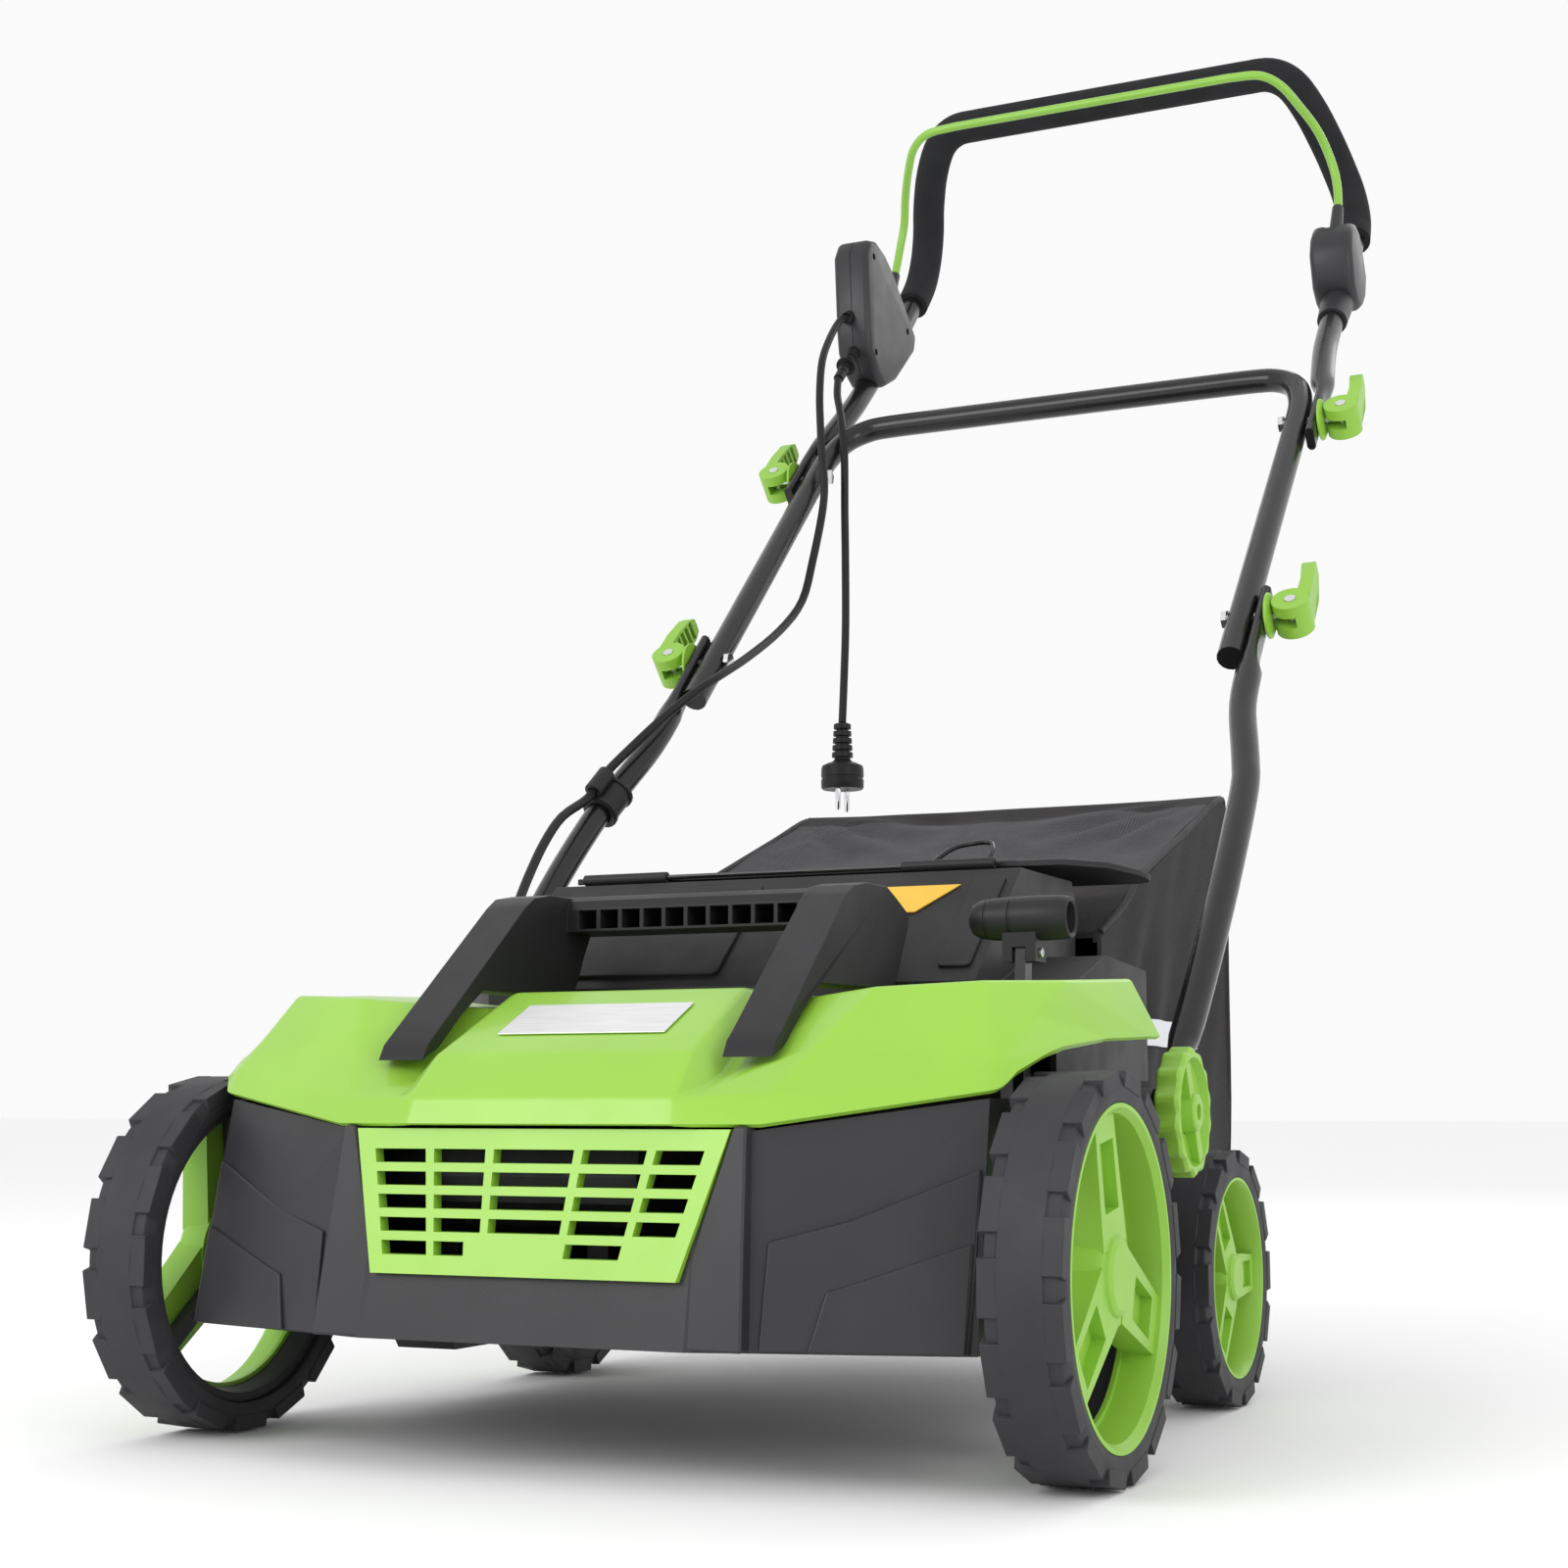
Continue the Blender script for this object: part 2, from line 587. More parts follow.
def front_axle():
    """The cranked axle: a shaft across the housing, an arm and a stub at each end and the link's arm."""
    shaft = disc(-0.232, 0.232, CRANK_SHAFT_Y, CRANK_SHAFT_Z, AXLE_RADIUS, 12)
    pieces = []
    low = atan2(FRONT_WHEEL_RADIUS - CRANK_SHAFT_Z, -CRANK_SHAFT_Y)
    for _, side in SIDES:
        reach = (CRANK_SHAFT_Y**2 + (FRONT_WHEEL_RADIUS - CRANK_SHAFT_Z) ** 2) ** 0.5
        arm = box((0.2285, -0.008, -0.009), (0.2345, reach + 0.008, 0.009))
        arm.transform(Matrix.Rotation(low, 4, "X"))
        arm.transform(Matrix.Translation((0, CRANK_SHAFT_Y, CRANK_SHAFT_Z)))
        pieces.append(mirrored(arm, side))
        stub_end = FRONT_WHEEL_X + FRONT_WHEEL_WIDTH / 2 - 0.0065
        pieces.append(mirrored(disc(0.232, stub_end, 0, FRONT_WHEEL_RADIUS, AXLE_RADIUS, 12), side))
    inner = LEVER_X - LEVER_THICK / 2
    outer = LEVER_X + LEVER_THICK / 2
    pieces.append(
        box((inner, CRANK_SHAFT_Y - 0.006, CRANK_SHAFT_Z), (outer, CRANK_SHAFT_Y + 0.006, CRANK_SHAFT_Z + LINK_ARM + 0.006))
    )
    pieces.append(disc(inner + 0.001, outer + 0.005, CRANK_SHAFT_Y, CRANK_SHAFT_Z + LINK_ARM, 0.003, 10))
    return joined(shaft, *pieces)


def rear_axle():
    end = REAR_WHEEL_X + REAR_WHEEL_WIDTH / 2 - 0.0065
    return disc(-end, end, WHEELBASE, REAR_WHEEL_RADIUS, AXLE_RADIUS, 12)


# ---------------------------------------------------------------- drum and drive


def tine_drum():
    """A tube with two opposite rows of wire tines, resting with both rows level."""
    body = disc(-0.170, 0.170, DRUM_Y, DRUM_Z, DRUM_TUBE_RADIUS, 16)
    tines = []
    for index in range(TINE_COUNT):
        x = -0.160 + 0.320 * index / (TINE_COUNT - 1)
        tine = box((x - TINE_RADIUS, -TINE_RADIUS, 0.015), (x + TINE_RADIUS, TINE_RADIUS, DRUM_TIP_RADIUS))
        tine.transform(Matrix.Rotation(radians(90 + 180 * index), 4, "X"))
        tine.transform(Matrix.Translation((0, DRUM_Y, DRUM_Z)))
        tines.append(tine)
    bore = disc(-0.2, 0.2, DRUM_Y, DRUM_Z, 0.008 + GAP, 12)
    return cut(joined(body, *tines), bore)


def bearing(side):
    low, high = TUNNEL_HALF_WIDTH - 0.005, TUNNEL_HALF_WIDTH + 0.006
    ring = turned([(high, 0.008 + GAP), (low, 0.008 + GAP), (low, 0.016), (high, 0.016)], DRUM_Y, DRUM_Z, 16)
    return mirrored(ring, side)


def belt_outline(extra):
    """The belt's path round both pulleys, as (y, z) points, at a distance out from their rims."""
    distance = ((DRUM_Y - MOTOR_Y) ** 2 + (DRUM_Z - MOTOR_Z) ** 2) ** 0.5
    line = atan2(DRUM_Z - MOTOR_Z, DRUM_Y - MOTOR_Y)
    lean = (DRUM_PULLEY_RADIUS - MOTOR_PULLEY_RADIUS) / distance
    points = []
    for centre, radius, start, end in (
        ((DRUM_Y, DRUM_Z), DRUM_PULLEY_RADIUS, -pi / 2 - lean, pi / 2 + lean),
        ((MOTOR_Y, MOTOR_Z), MOTOR_PULLEY_RADIUS, pi / 2 + lean, 3 * pi / 2 - lean),
    ):
        steps = 10
        for step in range(steps + 1):
            angle = line + start + (end - start) * step / steps
            points.append((centre[0] + (radius + extra) * cos(angle), centre[1] + (radius + extra) * sin(angle)))
    return points


def drive_belt():
    half = BELT_WIDTH / 2
    outside = plate(belt_outline(0.0035), BELT_X - half, BELT_X + half)
    return cut(outside, plate(belt_outline(0.0008), BELT_X - half - 0.01, BELT_X + half + 0.01))


def belt_cover():
    return plate(belt_outline(0.0045), BELT_X - 0.0165, BELT_X - 0.0140)


def pulley(y, z, radius, shaft_from, shaft_to, shaft_radius):
    half = BELT_WIDTH / 2 + 0.001
    wheel = disc(BELT_X - half, BELT_X + half, y, z, radius, 24)
    if shaft_radius:
        return joined(wheel, disc(shaft_from, shaft_to, y, z, shaft_radius, 12))
    return wheel


def motor():
    """The motor can with its end bell and two feet on the housing floor."""
    can = disc(-0.110, -0.110 + MOTOR_LENGTH, MOTOR_Y, MOTOR_Z, MOTOR_RADIUS, 20)
    bell = disc(-0.110 - 0.018, -0.105, MOTOR_Y, MOTOR_Z, 0.030, 16)
    feet = [
        box((x, MOTOR_Y - 0.030, HOUSING_BOTTOM + HOUSING_WALL + GAP), (x + 0.012, MOTOR_Y + 0.030, MOTOR_Z - 0.02))
        for x in (-0.085, 0.005)
    ]
    bore = disc(-0.14, -0.110 + 0.020, MOTOR_Y, MOTOR_Z, 0.005 + GAP, 12)
    return cut(joined(can, bell, *feet), bore)


# ---------------------------------------------------------------- depth adjustment


def depth_quadrant():
    """The notched plate on the tunnel's end wall, with the lever's pivot pin."""
    inner = TUNNEL_HALF_WIDTH + HOUSING_WALL + GAP
    points = [(LEVER_PIVOT_Y - 0.012, LEVER_PIVOT_Z - 0.012), (LEVER_PIVOT_Y + 0.050, LEVER_PIVOT_Z - 0.012)]
    for step in range(9):
        angle = radians(60 + step * 7)
        reach = 0.062 if step % 2 else 0.057
        points.append((LEVER_PIVOT_Y + reach * cos(angle), LEVER_PIVOT_Z + reach * sin(angle)))
    body = plate(points, inner, inner + 0.004)
    pin = disc(inner + 0.001, LEVER_X + LEVER_THICK / 2 + 0.001, LEVER_PIVOT_Y, LEVER_PIVOT_Z, 0.004, 12)
    return joined(body, pin)


def depth_lever():
    """The flat lever from its pivot up to the T grip."""
    lean = atan2(LEVER_GRIP_Y - LEVER_PIVOT_Y, LEVER_GRIP_Z - LEVER_PIVOT_Z)
    reach = ((LEVER_GRIP_Y - LEVER_PIVOT_Y) ** 2 + (LEVER_GRIP_Z - LEVER_PIVOT_Z) ** 2) ** 0.5
    half = LEVER_THICK / 2
    stem = box((-half, -0.0055, -0.009), (half, 0.0055, reach - 0.0085))
    stem.transform(Matrix.Rotation(-lean, 4, "X"))
    stem.transform(Matrix.Translation((LEVER_X, LEVER_PIVOT_Y, LEVER_PIVOT_Z)))
    pin = disc(LEVER_X, LEVER_X + half + 0.005, LEVER_PIVOT_Y, LEVER_PIVOT_Z + LINK_ARM, 0.003, 10)
    bore = disc(0.1, 0.3, LEVER_PIVOT_Y, LEVER_PIVOT_Z, 0.004 + GAP, 12)
    return cut(joined(stem, pin), bore)


def depth_grip():
    """The T grip across the lever's head, with a socket over the lever."""
    lean = atan2(LEVER_GRIP_Y - LEVER_PIVOT_Y, LEVER_GRIP_Z - LEVER_PIVOT_Z)
    reach = ((LEVER_GRIP_Y - LEVER_PIVOT_Y) ** 2 + (LEVER_GRIP_Z - LEVER_PIVOT_Z) ** 2) ** 0.5
    bar = disc(-0.029, 0.029, 0, reach, 0.0125, 14)
    neck = box((-0.009, -0.009, reach - 0.026), (0.009, 0.009, reach - 0.004))
    socket = box((-LEVER_THICK / 2 - GAP, -0.0058, reach - 0.04), (LEVER_THICK / 2 + GAP, 0.0058, reach - 0.0082))
    made = cut(joined(bar, neck), socket)
    made.transform(Matrix.Rotation(-lean, 4, "X"))
    made.transform(Matrix.Translation((LEVER_X, LEVER_PIVOT_Y, LEVER_PIVOT_Z)))
    return made


def depth_link():
    """The link rod from the lever's pin to the crank's pin."""
    low = LEVER_X + LEVER_THICK / 2 + 0.0012
    start = (CRANK_SHAFT_Y, CRANK_SHAFT_Z + LINK_ARM)
    end = (LEVER_PIVOT_Y, LEVER_PIVOT_Z + LINK_ARM)
    eyes = [disc(low, low + 0.003, *at, 0.006, 14) for at in (start, end)]
    bar = box((low, 0, -0.003), (low + 0.003, ((end[0] - start[0]) ** 2 + (end[1] - start[1]) ** 2) ** 0.5, 0.003))
    bar.transform(Matrix.Rotation(atan2(end[1] - start[1], end[0] - start[0]), 4, "X"))
    bar.transform(Matrix.Translation((0, *start)))
    holes = [disc(low - 0.01, low + 0.02, *at, 0.003 + GAP, 10) for at in (start, end)]
    return cut(joined(bar, *eyes), *holes)


# ---------------------------------------------------------------- handle

LOWER_ROUTE = (
    (HANDLE_BOLT_X, HANDLE_PIVOT_Y - 0.013, HANDLE_PIVOT_Z - 0.013), (HANDLE_BOLT_X, 0.215, 0.195),
    (0.2445, 0.250, 0.232), (0.2467, 0.3048, 0.2915), (0.2465, 0.3569, 0.3462), (0.2442, 0.4011, 0.3895),
    (0.2407, 0.4192, 0.4074), (0.2367, 0.4342, 0.4228), (0.2285, 0.4655, 0.4549), (JOINT_TUBE_X, 0.500, 0.4905),
    (JOINT_TUBE_X, MIDDLE_PIVOT_Y, MIDDLE_PIVOT_Z), (JOINT_TUBE_X, MIDDLE_PIVOT_Y + 0.018, MIDDLE_PIVOT_Z + 0.0185),
)
MIDDLE_ROUTE = (
    (MIDDLE_TUBE_X, MIDDLE_PIVOT_Y - 0.036, MIDDLE_PIVOT_Z - 0.0355), (MIDDLE_TUBE_X, MIDDLE_PIVOT_Y, MIDDLE_PIVOT_Z),
    (MIDDLE_TUBE_X, 0.6414, 0.6320), (MIDDLE_TUBE_X, UPPER_PIVOT_Y, UPPER_PIVOT_Z), (0.2090, 0.7650, 0.7540),
    (0.2010, 0.7830, 0.7715), (0.1860, 0.7930, 0.7810), (0.1650, 0.7960, 0.7840), (0.1000, 0.7965, 0.7845),
)
UPPER_ROUTE = (
    (JOINT_TUBE_X, UPPER_PIVOT_Y - 0.022, UPPER_PIVOT_Z - 0.021), (JOINT_TUBE_X, UPPER_PIVOT_Y, UPPER_PIVOT_Z),
    (JOINT_TUBE_X, 0.7650, 0.7533), (0.2225, 0.7900, 0.7765), (0.2175, 0.8250, 0.8090), (0.2158, 0.8548, 0.8366),
    (0.2152, 0.9200, 0.8985), (0.2150, 0.9550, 0.9320), (0.2147, 0.9800, 0.9600), (0.2123, 0.9985, 0.9870),
    (0.2078, 1.0012, 1.0125), (0.2016, 0.9916, 1.0345), (0.1945, 0.9750, 1.0560), (0.1840, 0.9575, 1.0810),
    (0.1700, 0.9450, 1.1030), (0.1520, 0.9400, 1.1135), (0.1280, 0.9400, 1.1150),
)
FOAM_START = 8
BAIL_ROUTE = (
    (BAIL_X, BAIL_PIVOT_Y, BAIL_PIVOT_Z), (BAIL_X, 0.9150, 0.9470), (0.2121, 0.9300, 0.9765),
    (0.2098, 0.9365, 1.0030), (0.2045, 0.9345, 1.0260), (0.1975, 0.9200, 1.0455), (0.1865, 0.9000, 1.0620),
    (0.1740, 0.8830, 1.0770), (0.1570, 0.8750, 1.0860), (0.1300, 0.8735, 1.0880),
)


def whole_route(half, per_span=2):
    """A hoop's route from its +X half, across the middle to the mirrored half."""
    right = smooth(half, per_span)
    return right + [Vector((-p.x, p.y, p.z)) for p in reversed(right)]


def lower_tube(side):
    mesh = tube(smooth(LOWER_ROUTE, 2), LOWER_TUBE_RADIUS, sides=2)
    flattened(mesh, (HANDLE_PIVOT_Y, HANDLE_PIVOT_Z), (0, 1, 1), 0.050, HANDLE_BOLT_X, FLAT_THICK)
    flattened(mesh, (MIDDLE_PIVOT_Y, MIDDLE_PIVOT_Z), (0, 1, 1), 0.058, JOINT_TUBE_X, FLAT_THICK)
    holes = [
        disc(0.1, 0.3, HANDLE_PIVOT_Y, HANDLE_PIVOT_Z, 0.004 + GAP, 12),
        disc(0.1, 0.3, MIDDLE_PIVOT_Y, MIDDLE_PIVOT_Z, 0.003 + GAP, 12),
    ]
    return mirrored(cut(mesh, *holes), side)


def middle_frame():
    mesh = tube(whole_route(MIDDLE_ROUTE), TUBE_RADIUS, sides=3)
    pivots = ((MIDDLE_PIVOT_Y, MIDDLE_PIVOT_Z), (UPPER_PIVOT_Y, UPPER_PIVOT_Z))
    return cut(mesh, *[disc(-0.3, 0.3, y, z, 0.003 + GAP, 12) for y, z in pivots])


def upper_handle():
    mesh = tube(whole_route(UPPER_ROUTE), TUBE_RADIUS, sides=3)
    flattened(mesh, (UPPER_PIVOT_Y, UPPER_PIVOT_Z), (0, 1, 1), 0.058, JOINT_TUBE_X, FLAT_THICK)
    return cut(mesh, disc(-0.3, 0.3, UPPER_PIVOT_Y, UPPER_PIVOT_Z, 0.003 + GAP, 12))


def foam_grip():
    """The foam sleeve over the hoop's upper part."""
    right = smooth(UPPER_ROUTE, 2)[FOAM_START * 2:]
    route = right + [Vector((-p.x, p.y, p.z)) for p in reversed(right)]
    skin = tube(route, FOAM_RADIUS, sides=3, caps=False)
    base = bpy.data.objects.new("skin", skin)
    bpy.context.scene.collection.objects.link(base)
    solid = base.modifiers.new("wall", "SOLIDIFY")
    solid.thickness = FOAM_RADIUS - TUBE_RADIUS - 2 * GAP
    solid.offset = -1
    graph = bpy.context.evaluated_depsgraph_get()
    shell = bpy.data.meshes.new_from_object(base.evaluated_get(graph))
    bpy.data.objects.remove(base)
    return shell


PIN_OUT = 0.0135


def bail():
    """The start bail: a wire hoop with a round hub and a pin at each foot."""
    wire = tube(whole_route(BAIL_ROUTE), BAIL_RADIUS, sides=2)
    feet = []
    for _, side in SIDES:
        feet.append(mirrored(disc(BAIL_X - 0.006, BAIL_X + 0.006, BAIL_PIVOT_Y, BAIL_PIVOT_Z, 0.007, 14), side))
        feet.append(mirrored(disc(BAIL_X - PIN_OUT, BAIL_X + PIN_OUT, BAIL_PIVOT_Y, BAIL_PIVOT_Z, 0.003, 10), side))
    return joined(wire, *feet)


def bail_socket(side):
    """What a bail foot needs inside its housing: a slot for its sweep and a hole for its pin."""
    half = 0.007
    return [
        mirrored(box((BAIL_X - half, BAIL_PIVOT_Y - 0.0085, BAIL_PIVOT_Z - 0.0085), (BAIL_X + half, 1.0, 1.02)), side),
        mirrored(disc(BAIL_X - PIN_OUT - GAP, BAIL_X + PIN_OUT + GAP, BAIL_PIVOT_Y, BAIL_PIVOT_Z, 0.003 + GAP, 10), side),
    ]


def hoop_bore():
    """The upper handle's tube, grown by the gap, to be cut from what clamps round it."""
    return tube(whole_route(UPPER_ROUTE), TUBE_RADIUS + GAP, sides=3)


def bail_pivot_housing():
    outline = (
        (0.8730, 0.9150), (0.8830, 0.9400), (0.9020, 0.9480), (0.9250, 0.9400), (0.9450, 0.9110), (0.9380, 0.8900),
        (0.9120, 0.8720), (0.8880, 0.8820),
    )
    return cut(plate(outline, BAIL_X - 0.0165, BAIL_X + 0.0205), hoop_bore(), *bail_socket(1))


BOX_LOW_X = -0.2320
BOX_HIGH_X = -0.1980
GLAND_AT = Vector((-0.2180, 0.8400, 0.9080))
GLAND_END = Vector((-0.2180, 0.8225, 0.9000))
RELIEF_AT = Vector((-0.2155, 0.8330, 0.8690))
LEAD_START = Vector((-0.2150, 0.7960, 0.8340))


def switch_box():
    """The box that starts the motor, clamped round the left tube."""
    outline = (
        (0.8240, 0.9600), (0.8330, 0.9760), (0.8500, 0.9800), (0.8700, 0.9750), (0.8906, 0.9640), (0.9500, 0.9165),
        (0.9450, 0.9000), (0.8990, 0.8600), (0.8690, 0.8445), (0.8500, 0.8540), (0.8340, 0.8700), (0.8300, 0.8900),
    )
    case = plate(outline, BOX_LOW_X, BOX_HIGH_X)
    gland = tube([GLAND_AT, GLAND_END], 0.006, sides=3)
    pocket = disc(BOX_LOW_X - 0.01, BOX_LOW_X + 0.006, BUTTON_AT[0], BUTTON_AT[1], 0.008 + GAP, 16)
    line = (LEAD_START - RELIEF_AT).normalized()
    relief_bore = tapered(RELIEF_AT - line * 0.005, LEAD_START, 0.0064, 0.0056)
    return cut(joined(case, gland), hoop_bore(), pocket, relief_bore, *bail_socket(-1))


BUTTON_AT = (0.862, 0.930)


def switch_button():
    return disc(BOX_LOW_X - 0.005, BOX_LOW_X + 0.002, *BUTTON_AT, 0.008, 16)


def cam_local(mesh, pivot):
    """Turns a piece made with its length along +Y so that it lies along the handle's slope at a pivot."""
    mesh.transform(Matrix.Rotation(radians(44.5), 4, "X"))
    mesh.transform(Matrix.Translation((0, *pivot)))
    return mesh


CAM_PIN_X = 0.2485
CAM_RADIUS = 0.0135
BASE_LOW_X = JOINT_TUBE_X + FLAT_THICK / 2 + 0.0005
CAMS = (("lower", MIDDLE_PIVOT_Y, MIDDLE_PIVOT_Z), ("upper", UPPER_PIVOT_Y, UPPER_PIVOT_Z))


def across(x, y, low, high, radius, sides=14):
    """A round bar along Z."""
    bm = bmesh.new()
    bmesh.ops.create_cone(bm, cap_ends=True, segments=sides, radius1=radius, radius2=radius, depth=high - low)
    bmesh.ops.translate(bm, vec=(x, y, (low + high) / 2), verts=bm.verts)
    return mesh_of(bm)


def cam_lever(side, pivot):
    """A lever with a round cam head on a cross pin, its arm lying along the handle tube."""
    head = across(CAM_PIN_X, 0, -0.013, 0.013, CAM_RADIUS, 16)
    arm = box((CAM_PIN_X + 0.004, 0.0, -0.0105), (CAM_PIN_X + CAM_RADIUS, 0.058, 0.0105))
    pin_hole = across(CAM_PIN_X, 0, -0.02, 0.02, 0.004 + GAP, 10)
    slot = box((0.22, -0.02, -0.0036), (CAM_PIN_X + 0.0036, 0.0036, 0.0036))
    return mirrored(cam_local(cut(joined(head, arm), pin_hole, slot), pivot), side)


def cam_bolt(side, pivot):
    """The bolt through both tubes, with a head inside, a green thrust plate and a cross pin outside."""
    head = disc(MIDDLE_TUBE_X - TUBE_RADIUS - 0.0042, MIDDLE_TUBE_X - TUBE_RADIUS - GAP, 0, 0, 0.007, 12)
    shaft = disc(MIDDLE_TUBE_X - TUBE_RADIUS - 0.003, CAM_PIN_X, 0, 0, 0.003, 10)
    plate_disc = disc(BASE_LOW_X, CAM_PIN_X - CAM_RADIUS - 0.0004, 0, 0, 0.0165, 16)
    pin = across(CAM_PIN_X, 0, -0.0135, 0.0135, 0.004, 10)
    return mirrored(cam_local(joined(shaft, head, plate_disc, pin), pivot), side)


def handle_bolt(side):
    head = disc(0.2150, 0.2198, HANDLE_PIVOT_Y, HANDLE_PIVOT_Z, 0.008, 14)
    shaft = disc(0.2160, 0.2575, HANDLE_PIVOT_Y, HANDLE_PIVOT_Z, 0.004, 12)
    return mirrored(joined(shaft, head), side)


def handle_knob(side):
    """A scalloped knob with a hub."""
    lobes = 12
    outline = []
    for step in range(lobes * 5):
        angle = 2 * pi * step / (lobes * 5)
        radius = 0.0355 + 0.0015 * cos(lobes * angle)
        outline.append((HANDLE_PIVOT_Y + radius * cos(angle), HANDLE_PIVOT_Z + radius * sin(angle)))
    low = HANDLE_BOLT_X + FLAT_THICK / 2 + 0.001
    body = plate(outline, low, low + 0.016)
    dish = disc(low + 0.008, low + 0.03, HANDLE_PIVOT_Y, HANDLE_PIVOT_Z, 0.030, 24)
    hub = disc(low + 0.004, low + 0.018, HANDLE_PIVOT_Y, HANDLE_PIVOT_Z, 0.010, 14)
    web = box(
        (low + 0.004, HANDLE_PIVOT_Y - 0.004, HANDLE_PIVOT_Z - 0.032),
        (low + 0.014, HANDLE_PIVOT_Y + 0.004, HANDLE_PIVOT_Z + 0.032),
    )
    bore = disc(0.2, 0.2585, HANDLE_PIVOT_Y, HANDLE_PIVOT_Z, 0.004 + GAP, 12)
    return mirrored(cut(joined(cut(body, dish), hub, web), bore), side)


# ---------------------------------------------------------------- leads

CLIP_AT = Vector((-0.2407, 0.4192, 0.4074))
CLIP_ALONG = Vector((0.0075, 0.0331, 0.0333)).normalized()
CLIP_OUT = Vector((0, -0.7092, 0.7050))
CLIP_REACH = 0.014

MOTOR_CABLE_ROUTE = (
    GLAND_END + Vector((0, -GAP, -GAP)), (-0.2175, 0.8060, 0.8920), (-0.2155, 0.7800, 0.8690), (-0.2130, 0.7560, 0.8400),
    (-0.2085, 0.7400, 0.8050), (-0.2040, 0.7310, 0.7750), (-0.2000, 0.7250, 0.7450), (-0.1945, 0.7180, 0.7150),
    (-0.1900, 0.7020, 0.6850), (-0.1880, 0.6780, 0.6400), (-0.1880, 0.6560, 0.6010), (-0.1880, 0.6120, 0.5680),
    (-0.1880, 0.5500, 0.5350), (-0.1900, 0.5020, 0.5120), (-0.1990, 0.4780, 0.4960), (-0.2160, 0.4560, 0.4730),
    CLIP_AT + CLIP_OUT * 0.0185 + CLIP_ALONG * 0.020, CLIP_AT + CLIP_OUT * 0.0185,
    CLIP_AT + CLIP_OUT * 0.0185 - CLIP_ALONG * 0.020, (-0.2460, 0.3600, 0.3900), (-0.2450, 0.3330, 0.3680),
    (-0.2410, 0.3040, 0.3400), (-0.2330, 0.2720, 0.3120), (-0.2200, 0.2320, 0.2910), (-0.2070, 0.1980, 0.2780),
    (-0.1985, 0.1800, 0.2650),
)
MAINS_LEAD_ROUTE = (
    LEAD_START, (-0.2110, 0.7850, 0.8160), (-0.2030, 0.7730, 0.7960), (-0.1970, 0.7640, 0.7750),
    (-0.1935, 0.7600, 0.7500), (-0.1930, 0.7590, 0.7000), (-0.1930, 0.7600, 0.6600), (-0.1930, 0.7600, 0.6000),
    (-0.1930, 0.7560, 0.5500), (-0.1930, 0.7520, 0.5125),
)
PLUG_AT = Vector((-0.1930, 0.7520, 0.5125 - 3 * GAP))


def cord(name, route, joint_name):
    """A free lead as a tube curve through a smooth curve's points."""
    curve = bpy.data.curves.new(name, "CURVE")
    curve.dimensions = "3D"
    curve.bevel_depth = CORD_RADIUS
    curve.bevel_resolution = 2
    curve.use_fill_caps = True
    points = smooth(route, 3)
    spline = curve.splines.new("POLY")
    spline.points.add(len(points) - 1)
    for point, at in zip(spline.points, points):
        point.co = (*(Vector(at) - Vector(JOINT_POINTS[joint_name])), 1.0)
    curve.materials.append(material(name + "_finish", *RUBBER))
    made = bpy.data.objects.new(name, curve)
    bpy.context.scene.collection.objects.link(made)
    made.parent = JOINTS[joint_name]


def cable_clip():
    """A collar on the lower tube with an eye for the motor cable."""
    reach = CLIP_ALONG * CLIP_REACH
    out = CLIP_OUT * 0.0185
    collar = tube([CLIP_AT - reach, CLIP_AT + reach], LOWER_TUBE_RADIUS + 0.0035, sides=4)
    eye = tube([CLIP_AT + out - reach * 0.7, CLIP_AT + out + reach * 0.7], CORD_RADIUS + 0.0032, sides=3)
    through = tube([CLIP_AT + out - 3 * reach, CLIP_AT + out + 3 * reach], CORD_RADIUS + 4 * GAP, sides=3)
    bore = mirrored(tube(smooth(LOWER_ROUTE, 2), LOWER_TUBE_RADIUS + GAP, sides=2), -1)
    return cut(joined(collar, eye), through, bore)


def tapered(start, end, radius_start, radius_end, sides=12):
    """A round taper between two points."""
    line = end - start
    bm = bmesh.new()
    bmesh.ops.create_cone(
        bm, cap_ends=True, segments=sides, radius1=radius_start, radius2=radius_end, depth=line.length
    )
    turn = line.to_track_quat("Z", "Y").to_matrix()
    bmesh.ops.rotate(bm, matrix=turn, verts=bm.verts)
    bmesh.ops.translate(bm, vec=(start + end) / 2, verts=bm.verts)
    return mesh_of(bm)


def strain_relief():
    line = (LEAD_START - RELIEF_AT).normalized()
    return tapered(RELIEF_AT - line * 0.004, LEAD_START - line * 4 * GAP, 0.0058, 0.0046)


def plug():
    """A round two-pin plug hanging from the lead."""
    down = Vector((0, 0, -1))
    neck = tapered(PLUG_AT, PLUG_AT + down * 0.036, 0.0055, 0.0085)
    body = tapered(PLUG_AT + down * 0.034, PLUG_AT + down * 0.058, 0.0180, 0.0185, 20)
    pins = [
        tapered(PLUG_AT + down * 0.055 + Vector((0, offset, 0)), PLUG_AT + down * 0.077 + Vector((0, offset, 0)),
                0.0024, 0.0020, 10)
        for offset in (-0.0095, 0.0095)
    ]
    return joined(body, neck, *pins)


# ---------------------------------------------------------------- plates on the skin


def badge_plate():
    """A blank bright plate on the middle block's slope."""
    slab = box((-0.0495, -0.0188, 0.0005), (0.0500, 0.0188, 0.0013))
    slab.transform(Matrix.Rotation(atan2(0.2448 - 0.2100, 0.0051 + 0.0671), 4, "X"))
    slab.transform(Matrix.Translation((0, -0.0310, 0.2274)))
    return slab


